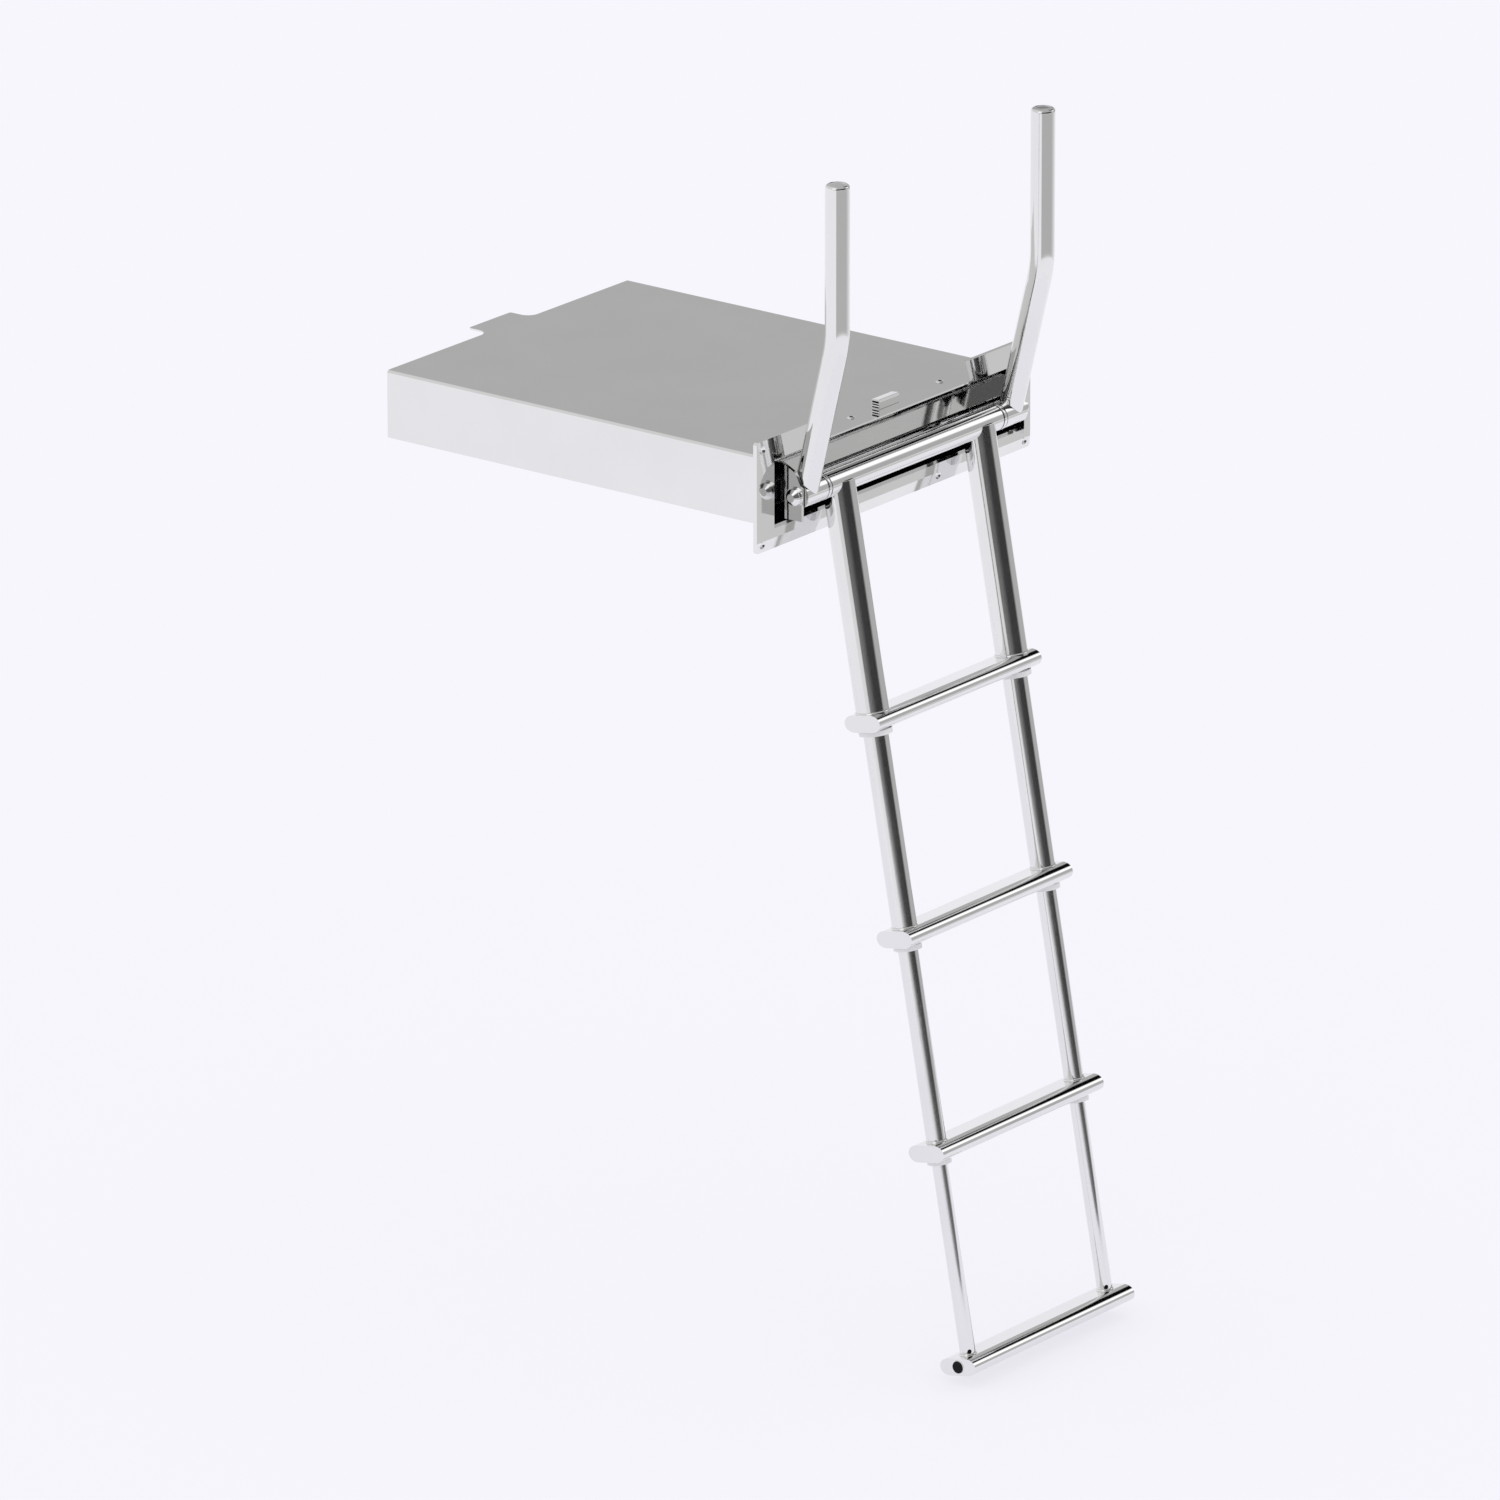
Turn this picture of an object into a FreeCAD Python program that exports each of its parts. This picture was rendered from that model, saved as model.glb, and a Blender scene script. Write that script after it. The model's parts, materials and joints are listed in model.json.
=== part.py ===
import FreeCAD, Part
import math
import os
import Sketcher

# Telescopic swim ladder that stows in a flat cassette behind its mounting flange.
# X runs across the ladder, Y runs inboard into the cassette, Z is up.
# The origin lies on the back face of the flange, in the middle of its lower bar.

V = FreeCAD.Vector
DOCUMENT = FreeCAD.newDocument("swim_ladder")

# Driving dimensions, in millimetres and degrees
DIMENSIONS = [
    # Cassette of folded sheet
    ("cassette_width", 444.0),
    ("cassette_depth", 548.0),
    ("cassette_height", 79.7),
    ("cassette_base", 9.8),
    ("cassette_inset", 1.0),
    ("sheet_thickness", 2.0),
    ("bend_radius", 4.0),
    ("lid_fold", 12.0),
    ("tab_width", 76.0),
    ("tab_length", 29.0),
    ("tab_root_radius", 14.0),
    ("tab_corner_radius", 3.0),
    # Flange that is screwed to the hull or platform
    ("flange_margin", 32.0),
    ("flange_thickness", 5.0),
    ("flange_drop", 13.5),
    ("flange_rise", 116.5),
    ("ear_gap_top", 274.0),
    ("ear_gap_bottom", 294.0),
    ("flange_corner_radius", 4.0),
    ("flange_bevel_height", 12.5),
    ("flange_bevel_depth", 1.2),
    ("screw_inset", 10.5),
    ("lower_screw_height", -5.0),
    ("upper_screw_height", 105.5),
    ("screw_hole", 5.5),
    ("countersink", 2.4),
    # Latch on the lid
    ("latch_length", 37.0),
    ("latch_depth", 11.0),
    ("latch_height", 12.0),
    ("latch_centre", 15.5),
    ("latch_setback", 15.0),
    ("latch_bore", 6.0),
    ("latch_bore_depth", 9.0),
    ("latch_rounding", 4.0),
    # Trolley that carries the pivot at the mouth of the cassette
    ("pivot_forward", 24.0),
    ("pivot_height", 47.0),
    ("plate_thickness", 4.0),
    ("plate_reach_back", 60.0),
    ("plate_nose", 9.0),
    ("plate_top", 36.5),
    ("plate_bottom", 28.0),
    ("cross_bar_depth", 24.0),
    ("cross_bar_drop", 26.0),
    ("cross_bar_rise", 27.0),
    ("cross_bar_thickness", 3.0),
    ("cross_bar_top", 11.0),
    ("cross_bar_setback", 1.0),
    ("block_height", 24.4),
    ("block_length", 50.0),
    ("block_start", 8.0),
    ("block_rounding", 3.0),
    ("stud_diameter", 8.0),
    ("stud_spacing", 30.0),
    ("channel_flange", 8.0),
    ("channel_wall", 2.0),
    ("channel_setback", 3.0),
    ("channel_end_gap", 6.0),
    # Pivot
    ("pivot_diameter", 30.0),
    ("pivot_wall", 2.0),
    ("pivot_end_wall", 4.0),
    ("side_gap", 1.0),
    ("sleeve_length", 37.5),
    ("sleeve_gap", 1.0),
    ("axle_diameter", 12.0),
    ("axle_gap", 0.05),
    ("nut_diameter", 19.0),
    ("nut_height", 8.5),
    ("nut_washer", 1.6),
    # Handles
    ("handle_diameter", 28.0),
    ("handle_wall", 2.0),
    ("handle_lean_angle", 13.7),
    ("handle_leg", 188.0),
    ("handle_grip", 178.0),
    ("handle_bend_radius", 150.0),
    ("handle_cap_height", 5.0),
    ("handle_cap_spigot", 10.0),
    ("handle_cap_rounding", 3.5),
    # Ladder
    ("ladder_lean_angle", 10.5),
    ("rail_setback", 35.5),
    ("rail_wall", 1.5),
    ("rail_top", 0.0),
    ("stage_one_diameter", 38.0),
    ("stage_two_diameter", 29.0),
    ("stage_three_diameter", 23.0),
    ("stage_four_diameter", 18.0),
    ("first_step", 276.5),
    ("step_pitch", 250.0),
    ("step_overhang", 2.5),
    ("step_depth", 50.0),
    ("step_height", 20.0),
    ("step_wall", 2.0),
    ("step_nose", 12.5),
    ("step_shoulder", 15.0),
    ("bush_wall", 2.0),
    ("bush_collar", 6.0),
    ("bush_collar_lip", 2.5),
    ("slide_head", 20.0),
    ("plug_diameter", 14.0),
    ("plug_lip", 0.8),
    ("plug_depth", 6.0),
    # Clearances
    ("running_gap", 0.3),
    ("weld_gap", 0.05),
]

SHEET = DOCUMENT.addObject("Spreadsheet::Sheet", "sizes")
for row, (alias, number) in enumerate(DIMENSIONS, start=1):
    SHEET.set(f"A{row}", alias)
    SHEET.set(f"B{row}", str(number))
    SHEET.setAlias(f"B{row}", alias)
DOCUMENT.recompute()


class Size:
    """A length: its number, and the formula over the sheet's cells that gives it."""

    def __init__(self, number, formula):
        self.number = number
        self.formula = formula

    def joined(self, other, sign, number):
        other_formula = other.formula if isinstance(other, Size) else repr(float(other))
        return Size(number, f"({self.formula} {sign} {other_formula})")

    def __add__(self, other):
        return self.joined(other, "+", self.number + plain(other))

    def __sub__(self, other):
        return self.joined(other, "-", self.number - plain(other))

    def __mul__(self, other):
        return self.joined(other, "*", self.number * plain(other))

    def __truediv__(self, other):
        return self.joined(other, "/", self.number / plain(other))

    def __neg__(self):
        return Size(-self.number, f"(0 - {self.formula})")


def plain(length):
    return length.number if isinstance(length, Size) else float(length)


class Sizes:
    """The sheet's cells as attributes."""


s = Sizes()
for alias, number in DIMENSIONS:
    setattr(s, alias, Size(number, f"sizes.{alias}"))

ZERO = Size(0.0, "0")

# Sizes that follow from the driving ones
half_width = s.cassette_width / 2
inner_half = half_width - s.sheet_thickness
lid_top = s.cassette_base + s.cassette_height
lid_under = lid_top - s.sheet_thickness
floor_top = s.cassette_base + s.sheet_thickness
cassette_length = s.cassette_depth + s.cassette_inset
half_flange = half_width + s.flange_margin
screw_side = half_flange - s.screw_inset
channel_web = inner_half - s.channel_wall
channel_lip = channel_web - s.channel_flange
plate_outside = channel_lip - s.side_gap
plate_inside = plate_outside - s.plate_thickness
sleeve_end = plate_inside - s.sleeve_gap
sleeve_start = sleeve_end - s.sleeve_length
half_tube = sleeve_start - s.sleeve_gap
pivot_radius = s.pivot_diameter / 2
axle_radius = s.axle_diameter / 2
handle_place = sleeve_end - s.handle_diameter / 2
rail_place = half_tube - s.rail_setback
step_length = (rail_place + s.step_overhang) * 2 + s.stage_one_diameter
block_width = channel_web - plate_outside - s.running_gap
first_stud = s.block_start + (s.block_length - s.stud_spacing) / 2
second_stud = first_stud + s.stud_spacing
SIDES = [("left", -1), ("right", 1)]
STAGES = [s.stage_one_diameter, s.stage_two_diameter, s.stage_three_diameter, s.stage_four_diameter]
PIVOT = V(0, -plain(s.pivot_forward), plain(s.pivot_height))

NODES = []


def new_body(label):
    body = DOCUMENT.addObject("PartDesign::Body", label)
    body.Label = label
    NODES.append(body)
    return body


def origin_plane(body, role):
    return next(item for item in body.Origin.OriginFeatures if item.Role == role)


def new_sketch(body, name, role, offset=ZERO):
    sketch = body.newObject("Sketcher::SketchObject", f"{body.Name}_{name}")
    sketch.AttachmentSupport = (origin_plane(body, role), [""])
    sketch.MapMode = "FlatFace"
    sketch.AttachmentOffset = FreeCAD.Placement(V(0, 0, plain(offset)), FreeCAD.Rotation())
    sketch.setExpression(".AttachmentOffset.Base.z", offset.formula)
    return sketch


def bind(sketch, constraint, length):
    sketch.setExpression(f"Constraints[{constraint}]", length.formula)


def pin_point(sketch, edge, end, across, up):
    """Holds one point of an edge at a place in the sketch."""
    bind(sketch, sketch.addConstraint(Sketcher.Constraint("DistanceX", edge, end, across.number)), across)
    bind(sketch, sketch.addConstraint(Sketcher.Constraint("DistanceY", edge, end, up.number)), up)


def close_outline(sketch, start, corners):
    """Joins edges end to end and holds each corner at its place."""
    total = len(corners)
    for index in range(total):
        following = start + (index + 1) % total
        sketch.addConstraint(Sketcher.Constraint("Coincident", start + index, 2, following, 1))
    for index, (across, up) in enumerate(corners):
        pin_point(sketch, start + index, 1, across, up)


def draw_outline(sketch, corners):
    """A closed outline of straight edges."""
    start = sketch.GeometryCount
    total = len(corners)
    points = [V(across.number, up.number, 0) for across, up in corners]
    for index in range(total):
        sketch.addGeometry(Part.LineSegment(points[index], points[(index + 1) % total]))
    close_outline(sketch, start, corners)


def draw_circle(sketch, across, up, radius):
    edge = sketch.addGeometry(Part.Circle(V(across.number, up.number, 0), V(0, 0, 1), radius.number))
    pin_point(sketch, edge, 3, across, up)
    bind(sketch, sketch.addConstraint(Sketcher.Constraint("Radius", edge, radius.number)), radius)


def draw_flat_oval(sketch, length, height, nose, shoulder):
    """Two straight edges joined by noses of three arcs, centred on the sketch's origin."""
    reach, half = length / 2 - nose, height / 2
    lift = shoulder - half
    tip = (shoulder * shoulder - lift * lift - nose * nose) / ((shoulder - nose) * 2)
    share = shoulder / (shoulder - tip)
    out, up, middle = reach + (nose - tip) * share, lift * share - lift, reach + nose - tip
    corners = [(-reach, -half), (reach, -half), (out, -up), (out, up),
               (reach, half), (-reach, half), (-out, up), (-out, -up)]
    arcs = [None, (reach, lift, shoulder), (middle, ZERO, tip), (reach, -lift, shoulder),
            None, (-reach, -lift, shoulder), (-middle, ZERO, tip), (-reach, lift, shoulder)]
    start = sketch.GeometryCount
    total = len(corners)
    points = [V(across.number, rise.number, 0) for across, rise in corners]
    for index, arc in enumerate(arcs):
        ends = points[index], points[(index + 1) % total]
        if arc is None:
            sketch.addGeometry(Part.LineSegment(*ends))
            continue
        centre, radius = V(arc[0].number, arc[1].number, 0), arc[2]
        begin, finish = (math.atan2(end.y - centre.y, end.x - centre.x) for end in ends)
        circle = Part.Circle(centre, V(0, 0, 1), radius.number)
        turn = (finish - begin) % (2 * math.pi)
        edge = sketch.addGeometry(Part.ArcOfCircle(circle, begin, begin + turn))
        bind(sketch, sketch.addConstraint(Sketcher.Constraint("Radius", edge, radius.number)), radius)
    close_outline(sketch, start, corners)


def pad(body, sketch, length, midplane=False, backwards=False):
    feature = body.newObject("PartDesign::Pad", f"{sketch.Name}_pad")
    feature.Profile = sketch
    feature.setExpression("Length", length.formula)
    feature.Midplane = midplane
    feature.Reversed = backwards
    DOCUMENT.recompute()
    return feature


def pocket_through(body, sketch):
    """Cuts a sketch right through the body, both ways from its plane."""
    feature = body.newObject("PartDesign::Pocket", f"{sketch.Name}_pocket")
    before = body.Shape.Volume
    feature.Profile = sketch
    feature.Type = "ThroughAll"
    feature.Midplane = True
    DOCUMENT.recompute()
    if not feature.Shape.Volume < before:
        raise RuntimeError(f"{feature.Name} cuts nothing")
    return feature


def edge_names(shape, wanted):
    return [f"Edge{number}" for number, edge in enumerate(shape.Edges, start=1) if wanted(edge)]


def dress(body, kind, length, wanted):
    """Rounds or bevels the edges that a test picks from the body's last feature."""
    base = body.Tip
    names = edge_names(base.Shape, wanted)
    if not names:
        raise RuntimeError(f"{body.Name} has no such edge")
    feature = body.newObject(f"PartDesign::{kind}", f"{body.Name}_{kind.lower()}_{len(body.Group)}")
    feature.Base = (base, names)
    feature.setExpression("Radius" if kind == "Fillet" else "Size", length.formula)
    DOCUMENT.recompute()
    return feature


def revolve(body, sketch):
    """Turns a section about its sketch's horizontal axis."""
    feature = body.newObject("PartDesign::Revolution", f"{sketch.Name}_turn")
    feature.Profile = sketch
    feature.ReferenceAxis = (sketch, ["H_Axis"])
    feature.Angle = 360
    DOCUMENT.recompute()
    return feature


def near(number, length):
    return abs(number - plain(length)) < 0.01


def runs_along(edge, axis):
    ends = edge.Vertexes
    if len(ends) != 2:
        return False
    span = ends[1].Point - ends[0].Point
    return span.Length > 0 and abs(abs(span.normalize().dot(axis)) - 1) < 1e-6


def at_place(edge, across, along):
    centre = edge.CenterOfMass
    return near(abs(centre.x), across) and near(centre.y, along)


def housing_lid():
    """Top of the cassette: a sheet folded down at both sides, with a tab at the back."""
    body = new_body("housing_lid")
    fold_end = lid_top - s.lid_fold
    section = new_sketch(body, "section", "XZ_Plane", s.cassette_inset)
    draw_outline(section, [(-half_width, fold_end), (-half_width, lid_top), (half_width, lid_top),
                           (half_width, fold_end), (inner_half, fold_end), (inner_half, lid_under),
                           (-inner_half, lid_under), (-inner_half, fold_end)])
    pad(body, section, cassette_length, backwards=True)
    half_tab = s.tab_width / 2
    tab_end = s.cassette_depth + s.tab_length
    tab = new_sketch(body, "tab", "XY_Plane", lid_under)
    draw_outline(tab, [(-half_tab, s.cassette_depth - s.bend_radius), (half_tab, s.cassette_depth - s.bend_radius),
                       (half_tab, tab_end), (-half_tab, tab_end)])
    pad(body, tab, s.sheet_thickness)
    upright = V(0, 0, 1)
    dress(body, "Fillet", s.tab_root_radius,
          lambda edge: runs_along(edge, upright) and at_place(edge, half_tab, s.cassette_depth))
    dress(body, "Fillet", s.tab_corner_radius,
          lambda edge: runs_along(edge, upright) and at_place(edge, half_tab, tab_end))
    inboard = V(0, 1, 0)
    dress(body, "Fillet", s.bend_radius,
          lambda edge: runs_along(edge, inboard) and near(edge.CenterOfMass.z, lid_top)
          and near(abs(edge.CenterOfMass.x), half_width))
    dress(body, "Fillet", s.bend_radius - s.sheet_thickness,
          lambda edge: runs_along(edge, inboard) and near(edge.CenterOfMass.z, lid_under)
          and near(abs(edge.CenterOfMass.x), inner_half))


def upright_sheet(label, low, high, start, length):
    """A flat sheet across the section, given as its two corners in X and Z, run inboard."""
    body = new_body(label)
    section = new_sketch(body, "section", "XZ_Plane", -start)
    draw_outline(section, [low, (high[0], low[1]), high, (low[0], high[1])])
    pad(body, section, length, backwards=True)
    return body


def housing_walls():
    """Sides, floor and back of the cassette."""
    wall_top = lid_top - s.lid_fold
    for side, sign in SIDES:
        inner, outer = inner_half * sign, half_width * sign
        upright_sheet(f"housing_{side}_wall", (inner, s.cassette_base), (outer, wall_top), -s.cassette_inset,
                      cassette_length)
    upright_sheet("housing_floor", (-inner_half, s.cassette_base), (inner_half, floor_top), -s.cassette_inset,
                  cassette_length)
    back = upright_sheet("housing_back_wall", (-inner_half, floor_top), (inner_half, lid_under),
                         s.cassette_depth - s.sheet_thickness, s.sheet_thickness)
    dress(back, "Fillet", s.bend_radius - s.sheet_thickness,
          lambda edge: runs_along(edge, V(0, 1, 0)) and near(edge.CenterOfMass.z, lid_under))


def front_flange():
    """Mounting plate with a window, two ears above the lid's front edge and a bevelled lower edge."""
    body = new_body("front_flange")
    plate = new_sketch(body, "plate", "XZ_Plane")
    ear_top, ear_root = s.ear_gap_top / 2, s.ear_gap_bottom / 2
    window, sill, ear_edge = half_width + s.weld_gap, s.cassette_base - s.weld_gap, lid_top + s.weld_gap
    draw_outline(plate, [(-half_flange, -s.flange_drop), (half_flange, -s.flange_drop),
                         (half_flange, s.flange_rise), (ear_top, s.flange_rise), (ear_root, ear_edge),
                         (window, ear_edge), (window, sill), (-window, sill), (-window, ear_edge),
                         (-ear_root, ear_edge), (-ear_top, s.flange_rise), (-half_flange, s.flange_rise)])
    pad(body, plate, s.flange_thickness)
    holes = new_sketch(body, "holes", "XZ_Plane")
    for across in (-screw_side, -screw_side / 3, screw_side / 3, screw_side):
        draw_circle(holes, across, s.lower_screw_height, s.screw_hole / 2)
    for across in (-screw_side, screw_side):
        draw_circle(holes, across, s.upper_screw_height, s.screw_hole / 2)
    pocket_through(body, holes)
    outboard = V(0, 1, 0)
    dress(body, "Fillet", s.flange_corner_radius,
          lambda edge: runs_along(edge, outboard) and near(abs(edge.CenterOfMass.x), half_flange))
    dress(body, "Chamfer", s.countersink,
          lambda edge: len(edge.Vertexes) == 1 and near(edge.CenterOfMass.y, -s.flange_thickness)
          and near(edge.Curve.Radius, s.screw_hole / 2))
    bevel = new_sketch(body, "bevel", "YZ_Plane")
    draw_outline(bevel, [(-s.flange_thickness, -s.flange_drop),
                         (s.flange_bevel_depth - s.flange_thickness, -s.flange_drop),
                         (-s.flange_thickness, s.flange_bevel_height - s.flange_drop)])
    pocket_through(body, bevel)


def lid_latch():
    """Turned-over catch on top of the lid, with a bore for its pin at one end."""
    body = new_body("lid_latch")
    middle = s.latch_setback + s.latch_depth / 2
    section = new_sketch(body, "section", "YZ_Plane", s.latch_centre)
    low, high = s.latch_setback, s.latch_setback + s.latch_depth
    draw_outline(section, [(low, lid_top), (high, lid_top), (high, lid_top + s.latch_height),
                           (low, lid_top + s.latch_height)])
    pad(body, section, s.latch_length, midplane=True)
    across = V(1, 0, 0)
    dress(body, "Fillet", s.latch_rounding,
          lambda edge: runs_along(edge, across) and near(edge.CenterOfMass.z, lid_top + s.latch_height))
    bore = new_sketch(body, "bore", "YZ_Plane", s.latch_centre - s.latch_length / 2)
    draw_circle(bore, middle, lid_top + s.latch_height / 2, s.latch_bore / 2)
    feature = body.newObject("PartDesign::Pocket", "latch_bore_pocket")
    feature.Profile = bore
    feature.setExpression("Length", s.latch_bore_depth.formula)
    feature.Reversed = True
    DOCUMENT.recompute()


def guide_channels():
    """Channels inside the cassette's sides, in which the trolley's blocks slide."""
    low = s.pivot_height - s.block_height / 2 - s.running_gap
    high = s.pivot_height + s.block_height / 2 + s.running_gap
    length = s.cassette_depth - s.sheet_thickness - s.channel_setback - s.channel_end_gap
    for side, sign in SIDES:
        wall, web, lip = inner_half * sign, channel_web * sign, channel_lip * sign
        body = new_body(f"guide_channel_{side}")
        section = new_sketch(body, "section", "XZ_Plane", -s.channel_setback)
        draw_outline(section, [(wall, low - s.channel_wall), (wall, high + s.channel_wall),
                               (lip, high + s.channel_wall), (lip, high), (web, high), (web, low), (lip, low),
                               (lip, low - s.channel_wall)])
        pad(body, section, length, backwards=True)


def trolley_plates():
    """Cheeks that hold the pivot axle in front of the flange."""
    for side, sign in SIDES:
        body = new_body(f"trolley_plate_{side}")
        profile = new_sketch(body, "profile", "YZ_Plane", plate_inside * sign)
        nose = s.plate_nose
        front = -s.pivot_forward
        draw_outline(profile, [(s.plate_reach_back, s.pivot_height - s.plate_bottom),
                               (s.plate_reach_back, s.pivot_height + s.plate_top),
                               (front + nose * 2, s.pivot_height + s.plate_top),
                               (front, s.pivot_height + s.plate_top - nose),
                               (front - nose, s.pivot_height + nose * 1.2),
                               (front - nose, s.pivot_height - s.plate_bottom)])
        pad(body, profile, s.plate_thickness, backwards=sign < 0)
        holes = new_sketch(body, "holes", "YZ_Plane")
        draw_circle(holes, front, s.pivot_height, axle_radius + s.axle_gap)
        for back in (first_stud, second_stud):
            draw_circle(holes, back, s.pivot_height, s.stud_diameter / 2 + s.weld_gap)
        pocket_through(body, holes)


def trolley_cross_bar():
    """Z-shaped bar that joins the two cheeks behind the pivot tube, and rises behind the flange's window."""
    body = new_body("trolley_cross_bar")
    top = s.pivot_height + s.cross_bar_top
    front = s.cross_bar_setback
    back = front + s.cross_bar_depth
    section = new_sketch(body, "section", "YZ_Plane")
    draw_outline(section, [(front, top), (back - s.cross_bar_thickness, top),
                           (back - s.cross_bar_thickness, top + s.cross_bar_rise), (back, top + s.cross_bar_rise),
                           (back, top - s.cross_bar_thickness),
                           (front + s.cross_bar_thickness, top - s.cross_bar_thickness),
                           (front + s.cross_bar_thickness, top - s.cross_bar_drop),
                           (front, top - s.cross_bar_drop)])
    pad(body, section, plate_inside * 2, midplane=True)


def slide_blocks():
    """Nylon blocks, each on two studs through its cheek, that slide in the side channels."""
    low = s.pivot_height - s.block_height / 2
    high = s.pivot_height + s.block_height / 2
    for side, sign in SIDES:
        body = new_body(f"slide_block_{side}")
        block = new_sketch(body, "block", "YZ_Plane", plate_outside * sign)
        draw_outline(block, [(s.block_start, low), (s.block_start + s.block_length, low),
                             (s.block_start + s.block_length, high), (s.block_start, high)])
        pad(body, block, block_width, backwards=sign < 0)
        dress(body, "Fillet", s.block_rounding, lambda edge: runs_along(edge, V(1, 0, 0)))
        studs = new_sketch(body, "studs", "YZ_Plane", plate_inside * sign)
        for back in (first_stud, second_stud):
            draw_circle(studs, back, s.pivot_height, s.stud_diameter / 2)
        pad(body, studs, s.plate_thickness, backwards=sign < 0)


def ring_section(sketch, start, end, bore, radius, wall, end_wall):
    """Section of a tube closed by a thick washer at each end, above the turning axis."""
    draw_outline(sketch, [(start, bore), (start, radius), (end, radius), (end, bore),
                          (end - end_wall, bore), (end - end_wall, radius - wall),
                          (start + end_wall, radius - wall), (start + end_wall, bore)])


def place_on_pivot(body, lean=0.0, across=0.0):
    body.Placement = FreeCAD.Placement(PIVOT + V(across, 0, 0), FreeCAD.Rotation(V(1, 0, 0), lean))


def pivot_parts():
    """Axle with domed nuts, the ladder's tube and the two handle sleeves that turn on it."""
    bore = axle_radius + s.axle_gap
    tube = new_body("pivot_tube")
    section = new_sketch(tube, "section", "XY_Plane")
    ring_section(section, -half_tube, half_tube, bore, pivot_radius, s.pivot_wall, s.pivot_end_wall)
    revolve(tube, section)
    place_on_pivot(tube)
    axle = new_body("pivot_axle")
    rod = new_sketch(axle, "rod", "YZ_Plane")
    draw_circle(rod, ZERO, ZERO, axle_radius)
    pad(axle, rod, plate_outside * 2, midplane=True)
    place_on_pivot(axle)
    for side, sign in SIDES:
        sleeve = new_body(f"handle_{side}_sleeve")
        section = new_sketch(sleeve, "section", "XY_Plane")
        ends = sorted((sleeve_start * sign, sleeve_end * sign), key=plain)
        ring_section(section, ends[0], ends[1], bore, pivot_radius, s.pivot_wall, s.pivot_end_wall)
        revolve(sleeve, section)
        place_on_pivot(sleeve)
        nut = new_body(f"pivot_nut_{side}")
        dome = new_sketch(nut, "dome", "XY_Plane")
        face = plate_outside * sign
        rim = (plate_outside + s.nut_washer) * sign
        shoulder = (plate_outside + s.nut_height / 2) * sign
        tip = (plate_outside + s.nut_height) * sign
        draw_outline(dome, [(face, ZERO), (face, s.nut_diameter / 2 + s.nut_washer),
                            (rim, s.nut_diameter / 2 + s.nut_washer), (rim, s.nut_diameter / 2),
                            (shoulder, s.nut_diameter / 2), (tip, s.nut_diameter / 4), (tip, ZERO)])
        revolve(nut, dome)
        place_on_pivot(nut)


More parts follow.
